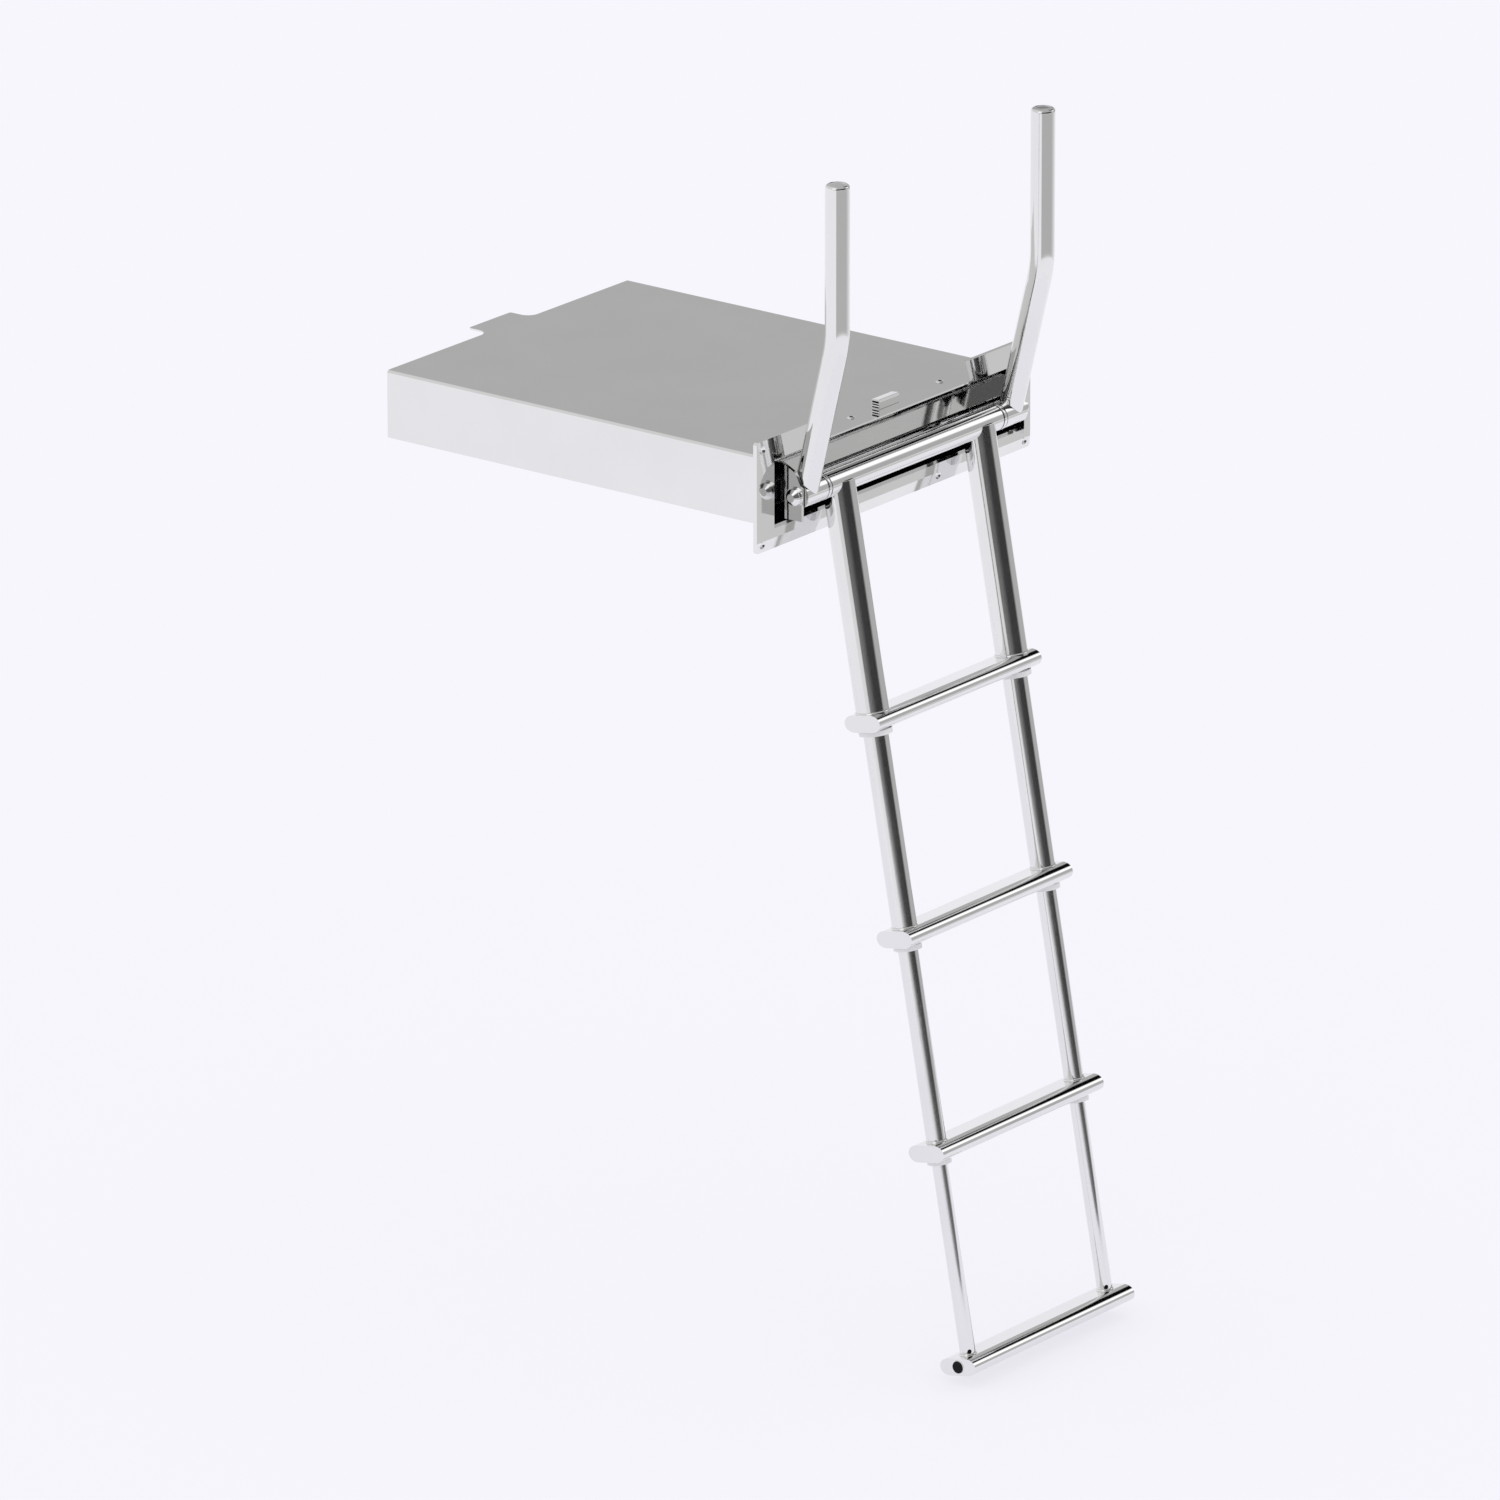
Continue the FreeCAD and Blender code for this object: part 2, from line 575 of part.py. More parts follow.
def handles():
    """Bent grab tubes, coped onto their sleeves and closed by a plug at the top."""
    turn = math.radians(plain(s.handle_lean_angle))
    lean = plain(s.handle_lean_angle)
    for side, sign in SIDES:
        tube = new_body(f"handle_{side}_tube")
        path = new_sketch(tube, "path", "YZ_Plane")
        radius, leg, grip = plain(s.handle_bend_radius), plain(s.handle_leg), plain(s.handle_grip)
        tangent = radius * math.tan(turn / 2)
        bend_start = V(0, leg - tangent, 0)
        upper = V(math.sin(turn), math.cos(turn), 0)
        bend_end = V(0, leg, 0) + upper * tangent
        top = V(0, leg, 0) + upper * grip
        centre = V(radius, leg - tangent, 0)
        path.addGeometry(Part.LineSegment(V(0, 0, 0), bend_start))
        bend = Part.Circle(centre, V(0, 0, 1), radius)
        path.addGeometry(Part.ArcOfCircle(bend, math.pi - turn, math.pi))
        path.addGeometry(Part.LineSegment(bend_end, top))
        path.addConstraint(Sketcher.Constraint("Coincident", 0, 1, -1, 1))
        path.addConstraint(Sketcher.Constraint("Vertical", 0))
        path.addConstraint(Sketcher.Constraint("Tangent", 0, 2, 1, 2))
        path.addConstraint(Sketcher.Constraint("Tangent", 1, 1, 2, 1))
        bind(path, path.addConstraint(Sketcher.Constraint("Radius", 1, radius)), s.handle_bend_radius)
        straight = Size(leg - tangent, f"({s.handle_leg.formula} - {s.handle_bend_radius.formula}"
                        f" * tan({s.handle_lean_angle.formula} / 2 * 1 deg))")
        bind(path, path.addConstraint(Sketcher.Constraint("Distance", 0, straight.number)), straight)
        above = Size(grip - tangent, f"({s.handle_grip.formula} - {s.handle_bend_radius.formula}"
                     f" * tan({s.handle_lean_angle.formula} / 2 * 1 deg))")
        bind(path, path.addConstraint(Sketcher.Constraint("Distance", 2, above.number)), above)
        angle = path.addConstraint(Sketcher.Constraint("Angle", 2, 1, 0, 1, turn))
        path.setExpression(f"Constraints[{angle}]", f"{s.handle_lean_angle.formula} * 1 deg")
        section = new_sketch(tube, "section", "XY_Plane")
        draw_circle(section, ZERO, ZERO, s.handle_diameter / 2)
        draw_circle(section, ZERO, ZERO, s.handle_diameter / 2 - s.handle_wall)
        pipe = tube.newObject("PartDesign::AdditivePipe", f"handle_{side}_pipe")
        pipe.Profile = section
        pipe.Spine = path
        DOCUMENT.recompute()
        cope = new_sketch(tube, "cope", "YZ_Plane")
        draw_circle(cope, ZERO, ZERO, pivot_radius + s.weld_gap)
        pocket_through(tube, cope)
        across = plain(handle_place) * sign
        place_on_pivot(tube, lean, across)
        plug = new_body(f"handle_{side}_cap")
        cap = new_sketch(plug, "cap", "YZ_Plane")
        rim = s.handle_diameter / 2
        spigot = rim - s.handle_wall - s.weld_gap
        draw_outline(cap, [(ZERO, -s.handle_cap_spigot), (spigot, -s.handle_cap_spigot), (spigot, ZERO), (rim, ZERO),
                           (rim, s.handle_cap_height), (ZERO, s.handle_cap_height)])
        turned = plug.newObject("PartDesign::Revolution", f"handle_{side}_cap_turn")
        turned.Profile = cap
        turned.ReferenceAxis = (cap, ["V_Axis"])
        turned.Angle = 360
        DOCUMENT.recompute()
        dress(plug, "Fillet", s.handle_cap_rounding,
              lambda edge: len(edge.Vertexes) == 1 and near(edge.CenterOfMass.z, s.handle_cap_height))
        lower_leg = FreeCAD.Rotation(V(1, 0, 0), lean).multVec(V(0, 0, leg))
        place = PIVOT + V(across, 0, 0) + lower_leg + V(0, 0, grip)
        plug.Placement = FreeCAD.Placement(place, FreeCAD.Rotation())


def step_distance(number):
    """Distance of a step's middle from the pivot, down the ladder."""
    return s.first_step + s.step_pitch * (number - 1)


def rails():
    """Four telescoping stages of round tube, the first coped onto the pivot tube."""
    for number, diameter in enumerate(STAGES, start=1):
        bottom = -(step_distance(number) - s.step_height / 2)
        if number == 1:
            top = -s.rail_top
        else:
            stop = step_distance(number - 1) - s.step_height / 2 - s.running_gap
            top = -(stop - s.slide_head)
        for side, sign in SIDES:
            body = new_body(f"rail_{number}_{side}")
            wall = new_sketch(body, "wall", "XY_Plane", bottom)
            draw_circle(wall, rail_place * sign, ZERO, diameter / 2)
            draw_circle(wall, rail_place * sign, ZERO, diameter / 2 - s.rail_wall)
            pad(body, wall, top - bottom)
            if number == 1:
                cope = new_sketch(body, "cope", "YZ_Plane")
                draw_circle(cope, ZERO, ZERO, pivot_radius + s.weld_gap)
                pocket_through(body, cope)
            else:
                outer_bore = STAGES[number - 2] / 2 - s.rail_wall
                head = new_sketch(body, "head", "XY_Plane", top - s.slide_head)
                draw_circle(head, rail_place * sign, ZERO, outer_bore - s.running_gap)
                draw_circle(head, rail_place * sign, ZERO, diameter / 2 - s.rail_wall)
                pad(body, head, s.slide_head)
            place_on_pivot(body, -plain(s.ladder_lean_angle))


def steps():
    """Flat-oval treads with drawn-out noses and closed ends, through which the next stage comes out."""
    for number in range(1, 5):
        body = new_body(f"step_{number}")
        level = -step_distance(number)
        tube = new_sketch(body, "tube", "YZ_Plane")
        outside = (s.step_depth, s.step_height, s.step_nose, s.step_shoulder)
        walls = (s.step_wall * 2, s.step_wall * 2, s.step_wall, s.step_wall)
        draw_flat_oval(tube, *outside)
        draw_flat_oval(tube, *(size - wall for size, wall in zip(outside, walls)))
        pad(body, tube, step_length - s.step_wall * 2, midplane=True)
        for side, sign in SIDES:
            end = new_sketch(body, f"{side}_end", "YZ_Plane", (step_length / 2 - s.step_wall) * sign)
            draw_flat_oval(end, *outside)
            pad(body, end, s.step_wall, backwards=sign < 0)
        if number < 4:
            holes = new_sketch(body, "holes", "XY_Plane")
            for side, sign in SIDES:
                draw_circle(holes, rail_place * sign, ZERO, bush_radius(number) + s.weld_gap)
            pocket_through(body, holes)
        else:
            holes = new_sketch(body, "holes", "YZ_Plane")
            draw_circle(holes, ZERO, ZERO, s.plug_diameter / 2)
            pocket_through(body, holes)
        tilt = FreeCAD.Rotation(V(1, 0, 0), -plain(s.ladder_lean_angle))
        body.Placement = FreeCAD.Placement(PIVOT + tilt.multVec(V(0, 0, plain(level))), tilt)


def bush_radius(number):
    """Outside of the bush under a stage, round the tube of the next one."""
    return STAGES[number] / 2 + s.running_gap + s.bush_wall


def bushes():
    """Collared bushes pressed into the treads from below."""
    for number in range(1, 4):
        tread_top = -(step_distance(number) - s.step_height / 2)
        tread_bottom = -(step_distance(number) + s.step_height / 2)
        bore = STAGES[number] / 2 + s.running_gap
        for side, sign in SIDES:
            body = new_body(f"bush_{number}_{side}")
            barrel = new_sketch(body, "barrel", "XY_Plane", tread_bottom)
            draw_circle(barrel, rail_place * sign, ZERO, bush_radius(number))
            draw_circle(barrel, rail_place * sign, ZERO, bore)
            pad(body, barrel, tread_top - tread_bottom)
            collar = new_sketch(body, "collar", "XY_Plane", tread_bottom - s.bush_collar)
            draw_circle(collar, rail_place * sign, ZERO, bush_radius(number) + s.bush_collar_lip)
            draw_circle(collar, rail_place * sign, ZERO, bore)
            pad(body, collar, s.bush_collar)
            place_on_pivot(body, -plain(s.ladder_lean_angle))


def step_plugs():
    """Plastic plugs in the ends of the lowest tread."""
    tilt = FreeCAD.Rotation(V(1, 0, 0), -plain(s.ladder_lean_angle))
    level = plain(step_distance(4))
    for side, sign in SIDES:
        body = new_body(f"step_plug_{side}")
        inner, outer = (step_length / 2 - s.plug_depth) * sign, (step_length / 2 + s.plug_lip) * sign
        sketch = new_sketch(body, "disc", "YZ_Plane", inner)
        draw_circle(sketch, ZERO, ZERO, s.plug_diameter / 2 - s.weld_gap)
        pad(body, sketch, (outer - inner) * sign, backwards=sign < 0)
        body.Placement = FreeCAD.Placement(PIVOT + tilt.multVec(V(0, 0, -level)), tilt)


def check_and_write():
    """Stops on a failed feature or a bad solid, and writes a STEP file for each piece."""
    DOCUMENT.recompute()
    for item in DOCUMENT.Objects:
        if "Invalid" in item.State or "Error" in item.State:
            raise RuntimeError(f"{item.Name} failed: {item.State}")
    for body in NODES:
        if body.Shape.isNull() or not body.Shape.isValid() or not body.Shape.Solids:
            raise RuntimeError(f"{body.Label} has no valid solid")
    os.makedirs("parts", exist_ok=True)
    for body in NODES:
        body.Shape.exportStep(f"parts/{body.Label}.step")
        print(f"{body.Label}: {len(body.Shape.Solids)} solid, {body.Shape.Volume / 1000:.1f} cm3")


housing_lid()
housing_walls()
front_flange()
lid_latch()
guide_channels()
trolley_plates()
trolley_cross_bar()
slide_blocks()
pivot_parts()
handles()
rails()
steps()
bushes()
step_plugs()
check_and_write()
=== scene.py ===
import json
import math
import bpy
from mathutils import Matrix, Vector


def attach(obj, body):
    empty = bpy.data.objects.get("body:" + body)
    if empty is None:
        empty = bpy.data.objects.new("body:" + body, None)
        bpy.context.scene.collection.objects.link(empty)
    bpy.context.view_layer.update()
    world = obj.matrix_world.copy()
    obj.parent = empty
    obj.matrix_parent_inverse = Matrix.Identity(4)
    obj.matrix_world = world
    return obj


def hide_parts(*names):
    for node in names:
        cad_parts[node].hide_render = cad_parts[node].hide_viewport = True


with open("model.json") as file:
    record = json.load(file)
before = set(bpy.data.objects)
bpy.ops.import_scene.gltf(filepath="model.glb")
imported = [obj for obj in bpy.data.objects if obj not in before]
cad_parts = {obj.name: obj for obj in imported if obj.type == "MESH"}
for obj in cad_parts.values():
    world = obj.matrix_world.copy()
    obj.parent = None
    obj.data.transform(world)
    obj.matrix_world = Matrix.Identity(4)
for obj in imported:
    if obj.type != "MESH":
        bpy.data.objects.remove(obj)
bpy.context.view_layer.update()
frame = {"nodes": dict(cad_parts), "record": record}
bpy.ops.object.select_all(action="DESELECT")

# Camera
# A long lens in front of the ladder, to its left and a little above it. The aim point lies in the flange's
# back face, and is seen at the aim pixel of the square picture.
view_azimuth = math.radians(-52.298)
view_elevation = math.radians(18.672)
view_roll = math.radians(-0.069)
picture_pixels = 1500
focal_pixels = 15202.0
sensor_width = 36.0
view_distance = 17.1058
aim_point = Vector((0.0, 0.0, -0.080685))
aim_pixel = (891.3148, 556.0398)

side = Vector((math.cos(view_azimuth), math.sin(view_azimuth), 0.0))
back = Vector((math.sin(view_azimuth) * math.cos(view_elevation),
               -math.cos(view_azimuth) * math.cos(view_elevation), math.sin(view_elevation)))
above = back.cross(side)
right = side * math.cos(view_roll) + above * math.sin(view_roll)
up = above * math.cos(view_roll) - side * math.sin(view_roll)
off_right = (aim_pixel[0] - picture_pixels / 2) / focal_pixels * view_distance
off_up = -(aim_pixel[1] - picture_pixels / 2) / focal_pixels * view_distance
place = aim_point - right * off_right - up * off_up + back * view_distance
lens = bpy.data.cameras.new("photo_lens")
lens.sensor_width = sensor_width
lens.lens = sensor_width * focal_pixels / picture_pixels
lens.clip_end = 200.0
camera = bpy.data.objects.new("photo_camera", lens)
camera.matrix_world = Matrix.Translation(place) @ Matrix((right, up, back)).transposed().to_4x4()
bpy.context.collection.objects.link(camera)
bpy.context.scene.camera = camera
bpy.context.scene.view_settings.view_transform = "Standard"


class Value:
    """A socket of a node tree, with arithmetic that adds its Math nodes."""

    def __init__(self, tree, socket):
        self.tree, self.socket = tree, socket

    def math(self, operation, *others):
        return Nodes(self.tree).add("ShaderNodeMath", {"operation": operation}, self, *others)

    def __add__(self, other):
        return self.math("ADD", other)

    __radd__ = __add__

    def __sub__(self, other):
        return self.math("SUBTRACT", other)

    def __rsub__(self, other):
        return (self * -1.0) + other

    def __mul__(self, other):
        return self.math("MULTIPLY", other)

    __rmul__ = __mul__

    def __truediv__(self, other):
        return self.math("DIVIDE", other)

    def smooth(self, start, end):
        """0 at start, 1 at end, and a soft step between them."""
        settings = {"interpolation_type": "SMOOTHSTEP"}
        return Nodes(self.tree).add("ShaderNodeMapRange", settings, self, start, end, 0.0, 1.0)

    def between(self, low, high, soft):
        """1 from low to high, fading to 0 over the soft width outside."""
        return self.smooth(low - soft, low) * (1.0 - self.smooth(high, high + soft))


class Nodes:
    """Adds nodes of any kind to one tree."""

    def __init__(self, tree):
        self.tree = tree

    def add(self, kind, settings, *inputs, output=0):
        node = self.tree.nodes.new(kind)
        for name, setting in settings.items():
            setattr(node, name, setting)
        sockets = [socket for socket in node.inputs if socket.enabled]
        for socket, value in zip(sockets, inputs):
            if isinstance(value, Value):
                self.tree.links.new(value.socket, socket)
            elif value is not None:
                socket.default_value = value
        outputs = [socket for socket in node.outputs if socket.enabled]
        return Value(self.tree, outputs[output]) if outputs else None

    def mix(self, factor, first, second):
        """A colour or a grey between two others."""
        plain = [(value,) * 3 + (1.0,) if isinstance(value, float) else value for value in (first, second)]
        return self.add("ShaderNodeMix", {"data_type": "RGBA"}, factor, *plain)

    def axes(self, vector):
        """The three components of a vector."""
        split = self.add("ShaderNodeSeparateXYZ", {}, vector)
        return [Value(self.tree, socket) for socket in split.socket.node.outputs]


# Studio
# What the polished steel sees, by direction: white paper low down and behind, a grey band of shade on it in
# front, the dark room over its edge, grey walls to the right and a soft bright lamp high on the right.
# Bearings are counted from the ladder's right, negative in front of it.
paper = (0.952, 0.945, 0.985, 1.0)
backdrop = (0.9301, 0.9216, 0.9823, 1.0)
world = bpy.data.worlds.new("studio")
bpy.context.scene.world = world
world.use_nodes = True
world.node_tree.nodes.clear()
sky = Nodes(world.node_tree)
direction = sky.add("ShaderNodeTexCoord", {})
ray_x, ray_y, ray_z = sky.axes(direction)
degrees = 180.0 / math.pi
bearing = ray_y.math("ARCTAN2", ray_x) * degrees
height = ray_z.math("ARCSINE") * degrees

# The paper's edge curves down to both sides in front, and climbs behind the ladder's right end.
front_bearing, front_reach, front_height, front_drop = -95.0, 65.0, -4.0, 4.8
behind_height, edge_blur = 9.0, 0.4
from_front = (bearing - front_bearing) / front_reach
edge = front_height - front_drop * (from_front * from_front)
behind = bearing.smooth(-6.0, 24.0)
edge = edge * (1.0 - behind) + behind_height * behind
over_edge = (height - edge).smooth(-edge_blur, edge_blur)

darkest, dim, grey_wall, pale_wall = 0.040, 0.135, 0.480, 0.750
room = sky.mix(bearing.smooth(-139.0, -108.0), dim, darkest)
room = sky.mix(bearing.smooth(-72.0, -50.0), room, grey_wall)
room = sky.mix(height.smooth(32.0, 44.0) * (1.0 - bearing.smooth(-64.0, -50.0)), room, grey_wall)
room = sky.mix(bearing.smooth(45.0, 75.0), room, pale_wall)
room = sky.mix(1.0 - bearing.smooth(-157.0, -154.0), room, pale_wall)

# The band of shade on the paper gets paler to the right, until it is plain paper.
deep_shade, light_shade = 0.500, 0.760
shade = sky.mix(bearing.smooth(-62.0, -20.0), deep_shade, light_shade)
shade = sky.mix(bearing.smooth(-25.0, 3.0), shade, paper)
shaded = bearing.smooth(-155.0, -153.5) * height.between(-19.6, -10.4, 1.2)
surround = sky.mix(shaded, paper, shade)
surround = sky.mix(over_edge, surround, room)

# A black patch to the right of the lamp makes the dark line over the treads' highlight. The lamp fades out from
# its core to its rim, in degrees from its middle.
dark_spot = bearing.between(-12.0, 20.0, 5.0) * height.between(35.0, 50.0, 3.0)
surround = sky.mix(dark_spot, surround, 0.0)
lamp_bearing, lamp_height, lamp_core, lamp_rim, lamp_glow = -29.5, 29.5, 5.0, 17.0, 1.35
lamp_x, lamp_y = bearing - lamp_bearing, height - lamp_height
lamp_far = (lamp_x * lamp_x + lamp_y * lamp_y).math("SQRT")
surround = sky.mix(1.0 - lamp_far.smooth(lamp_core, lamp_rim), surround, lamp_glow)

# A second lamp high up on the left gives the domed nuts their bright streaks.
left_lamp_way = (-0.74, 0.03, 0.67)
left_lamp = ray_x * left_lamp_way[0] + ray_y * left_lamp_way[1] + ray_z * left_lamp_way[2]
surround = sky.mix(left_lamp.smooth(0.955, 0.980), surround, lamp_glow)

light_path = sky.add("ShaderNodeLightPath", {})
path_outputs = light_path.socket.node.outputs
in_steel = Value(world.node_tree, path_outputs["Is Glossy Ray"])
to_camera = Value(world.node_tree, path_outputs["Is Camera Ray"])
room_light = sky.add("ShaderNodeBackground", {}, surround, 1.0)
plain_light = sky.add("ShaderNodeBackground", {}, (1.0, 1.0, 1.0, 1.0), 1.0)
backdrop_light = sky.add("ShaderNodeBackground", {}, backdrop, 1.0)
sky_light = sky.add("ShaderNodeMixShader", {}, in_steel, plain_light, room_light)
sky_light = sky.add("ShaderNodeMixShader", {}, to_camera, sky_light, backdrop_light)
sky.add("ShaderNodeOutputWorld", {}, sky_light)

# Floor
# White paper just under the lowest tread, faintly shaded by it. It blends into the backdrop, and near the foot
# the steel sees it too.
floor_level = -0.985
paper_reach, paper_fade = 2.0, 0.15
share_shaded = 0.35
bpy.ops.mesh.primitive_plane_add(size=80.0, location=(0.0, 0.0, floor_level))
floor = bpy.context.active_object
floor.name = "studio_floor"
floor_finish = bpy.data.materials.new("white_paper_floor")
floor_finish.use_nodes = True
floor_finish.node_tree.nodes.clear()
ground = Nodes(floor_finish.node_tree)
spot_x, spot_y, _ = ground.axes(ground.add("ShaderNodeTexCoord", {}, output=3))
reach = (spot_x * spot_x + spot_y * spot_y).math("SQRT")
ground_path = ground.add("ShaderNodeLightPath", {})
seen_by_steel = Value(floor_finish.node_tree, ground_path.socket.node.outputs["Is Glossy Ray"])
shaded_paper = ground.add("ShaderNodeBsdfDiffuse", {}, backdrop, 0.0)
plain_paper = ground.add("ShaderNodeEmission", {}, backdrop, 1.0)
open_air = ground.add("ShaderNodeBsdfTransparent", {}, (1.0, 1.0, 1.0, 1.0))
ground_look = ground.add("ShaderNodeMixShader", {}, share_shaded, plain_paper, shaded_paper)
far_off = seen_by_steel * reach.smooth(paper_reach - paper_fade, paper_reach + paper_fade)
ground_look = ground.add("ShaderNodeMixShader", {}, far_off, ground_look, open_air)
ground.add("ShaderNodeOutputMaterial", {}, ground_look)
floor.data.materials.append(floor_finish)

# Grey card
# A card over the ladder's right end, seen in the steel only, for a softer grey above the pivot tube's highlight.
card_place, card_size, card_grey = (0.56, 0.17, 0.5), (0.42, 0.20, 1.0), 0.26
bpy.ops.mesh.primitive_plane_add(size=1.0, location=card_place)
card = bpy.context.active_object
card.name = "grey_card"
card.scale = card_size
card.visible_camera = card.visible_diffuse = card.visible_shadow = False
card_finish = bpy.data.materials.new("grey_card")
card_finish.use_nodes = True
card_finish.node_tree.nodes.clear()
card_nodes = Nodes(card_finish.node_tree)
card_glow = card_nodes.add("ShaderNodeEmission", {}, (1.0, 1.0, 1.0, 1.0), card_grey)
card_nodes.add("ShaderNodeOutputMaterial", {}, card_glow)
card.data.materials.append(card_finish)


def new_finish(name, metal):
    """A material with its node adder, its principled shader and the place on the piece in metres."""
    material = bpy.data.materials.new(name)
    material.use_nodes = True
    shader = material.node_tree.nodes["Principled BSDF"]
    shader.inputs["Metallic"].default_value = metal
    nodes = Nodes(material.node_tree)
    return material, nodes, shader, nodes.add("ShaderNodeTexCoord", {}, output=3)


def dress(nodes, shader, colour, roughness, height, depth):
    """Joins the varying colour, roughness and fine relief to the shader."""
    nodes.tree.links.new(colour.socket, shader.inputs["Base Color"])
    nodes.tree.links.new(roughness.socket, shader.inputs["Roughness"])
    relief = nodes.add("ShaderNodeBump", {}, 1.0, depth, None, height)
    nodes.tree.links.new(relief.socket, shader.inputs["Normal"])


# Polished steel
# Mirror-polished stainless steel: sheet rubbed along its length, tube polished round, and turned small parts.
# Each has faint clouds where the buffing wheel lingered, hair-fine marks and a little wear in the gloss.
def steel_finish(name, stretch, gloss, marks):
    material, nodes, shader, place = new_finish(name, 1.0)
    cloud = nodes.add("ShaderNodeTexNoise", {}, place, 9.0, 3.0, 0.55)
    stretched = nodes.add("ShaderNodeMapping", {"vector_type": "POINT"}, place, None, None, stretch)
    grain = nodes.add("ShaderNodeTexNoise", {}, stretched, 260.0, 2.0, 0.6)
    colour = nodes.mix(cloud.smooth(0.30, 0.70), (0.800, 0.799, 0.796, 1.0), (0.822, 0.821, 0.818, 1.0))
    worn = cloud.smooth(0.56, 0.74) * grain.smooth(0.50, 0.70)
    roughness = gloss + cloud * 0.02 + worn * 0.05
    dress(nodes, shader, colour, roughness, grain, marks)
    return material


sheet_steel = steel_finish("polished_sheet_steel", (0.15, 1.0, 1.0), 0.055, 0.000002)
tube_steel = steel_finish("polished_tube_steel", (1.0, 1.0, 0.2), 0.065, 0.0000015)
small_steel = steel_finish("turned_small_steel", (1.0, 1.0, 1.0), 0.085, 0.000002)


# Plastics
# White nylon for the collars under the treads, and black plastic for the plugs, slide blocks and channels: both
# moulded, with a fine grain and paler rubbed patches. The kinds of plastic are guessed from white and black.
def plastic_finish(name, colour, rubbed, roughness, grain_depth, shine=0.5):
    material, nodes, shader, place = new_finish(name, 0.0)
    shader.inputs["Specular IOR Level"].default_value = shine
    cloud = nodes.add("ShaderNodeTexNoise", {}, place, 40.0, 3.0, 0.55)
    grain = nodes.add("ShaderNodeTexNoise", {}, place, 1400.0, 2.0, 0.6)
    tone = nodes.mix(cloud.smooth(0.35, 0.75), colour, rubbed)
    dress(nodes, shader, tone, roughness + cloud * 0.15, grain, grain_depth)
    return material


white_nylon = plastic_finish("white_nylon", (0.78, 0.78, 0.79, 1.0), (0.70, 0.70, 0.71, 1.0), 0.25, 0.00001)
black_plastic = plastic_finish("black_plastic", (0.004, 0.004, 0.005, 1.0), (0.022, 0.022, 0.024, 1.0), 0.35,
                               0.00004, 0.12)

# Finish of each modelled piece
# Sheet pieces, tubes and small turned pieces are told apart by their names.
sheet_words = ("housing", "flange", "latch", "trolley")
small_words = ("nut", "axle", "cap")
for subpart in frame["record"]["subparts"]:
    node = frame["nodes"][subpart["node"]]
    finish = {"white_plastic": white_nylon, "black_plastic": black_plastic}.get(subpart["material_slot"])
    if finish is None:
        finish = tube_steel
        if any(word in subpart["node"] for word in sheet_words):
            finish = sheet_steel
        if any(word in subpart["node"] for word in small_words):
            finish = small_steel
    node.data.materials.clear()
    node.data.materials.append(finish)


def turned(name, profile, sides=40, ring=False):
    """A piece turned about +Z: a circle drawn out from ring to ring along (radius, height) in metres."""
    (radius, level), rest = profile[0], profile[1:]
    bpy.ops.mesh.primitive_circle_add(vertices=sides, radius=radius, location=(0.0, 0.0, level),
                                      fill_type="NOTHING" if ring else "NGON")
    bpy.context.active_object.name = name
    bpy.ops.object.transform_apply(location=True, rotation=True, scale=True)
    bpy.ops.object.mode_set(mode="EDIT")
    bpy.ops.mesh.select_all(action="SELECT")
    for next_radius, next_level in rest + (profile[:1] if ring else []):
        bpy.ops.mesh.extrude_region_move(TRANSFORM_OT_translate={"value": (0.0, 0.0, next_level - level)})
        grown = next_radius / radius
        bpy.ops.transform.resize(value=(grown, grown, 1.0), center_override=(0.0, 0.0, next_level))
        radius, level = next_radius, next_level
    bpy.ops.mesh.select_all(action="SELECT")
    bpy.ops.mesh.remove_doubles(threshold=0.000001)
    bpy.ops.mesh.normals_make_consistent(inside=False)
    bpy.ops.object.mode_set(mode="OBJECT")
    return bpy.context.active_object


def settle(piece, turn, finish, body, smooth=32.0):
    """Moves the mesh to its place, gives it its finish and hands it to its body."""
    piece.matrix_world = turn
    bpy.ops.object.select_all(action="DESELECT")
    piece.select_set(True)
    bpy.context.view_layer.objects.active = piece
    bpy.ops.object.transform_apply(location=True, rotation=True, scale=True)
    bpy.ops.object.shade_smooth_by_angle(angle=math.radians(smooth))
    piece.data.materials.append(finish)
    piece.select_set(False)
    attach(piece, body)
    return piece


def corner(node, pick, axis):
    """The smallest or largest coordinate of a modelled piece along one axis."""
    shape = frame["nodes"][node]
    return pick((shape.matrix_world @ vertex.co)[axis] for vertex in shape.data.vertices)


mm = 0.001
handle_sides = (("left", -1.0), ("right", 1.0))

# Handle caps
# Stainless end caps that close the grips' tops. Each is turned: a rounded shoulder, a fine groove read from a
# faint ring, and a slightly domed disc. The spigot pressed into the tube is a usual way to hold them, not seen.
cap_radius, cap_height, shoulder = 14.0 * mm, 5.0 * mm, 3.5 * mm
spigot_radius, spigot_length, shoulder_steps = 11.9 * mm, 10.0 * mm, 6
cap_profile = [(spigot_radius, -spigot_length), (spigot_radius, 0.0), (cap_radius, 0.0)]
for step in range(shoulder_steps + 1):
    turn_angle = math.radians(90.0 / shoulder_steps * step)
    cap_profile.append((cap_radius - shoulder + shoulder * math.cos(turn_angle),
                        cap_height - shoulder + shoulder * math.sin(turn_angle)))
cap_profile += [(10.0 * mm, 4.75 * mm), (9.6 * mm, 4.45 * mm), (9.2 * mm, 4.5 * mm), (8.8 * mm, 4.72 * mm),
                (6.0 * mm, 4.9 * mm), (3.0 * mm, 4.98 * mm), (0.4 * mm, 5.0 * mm)]
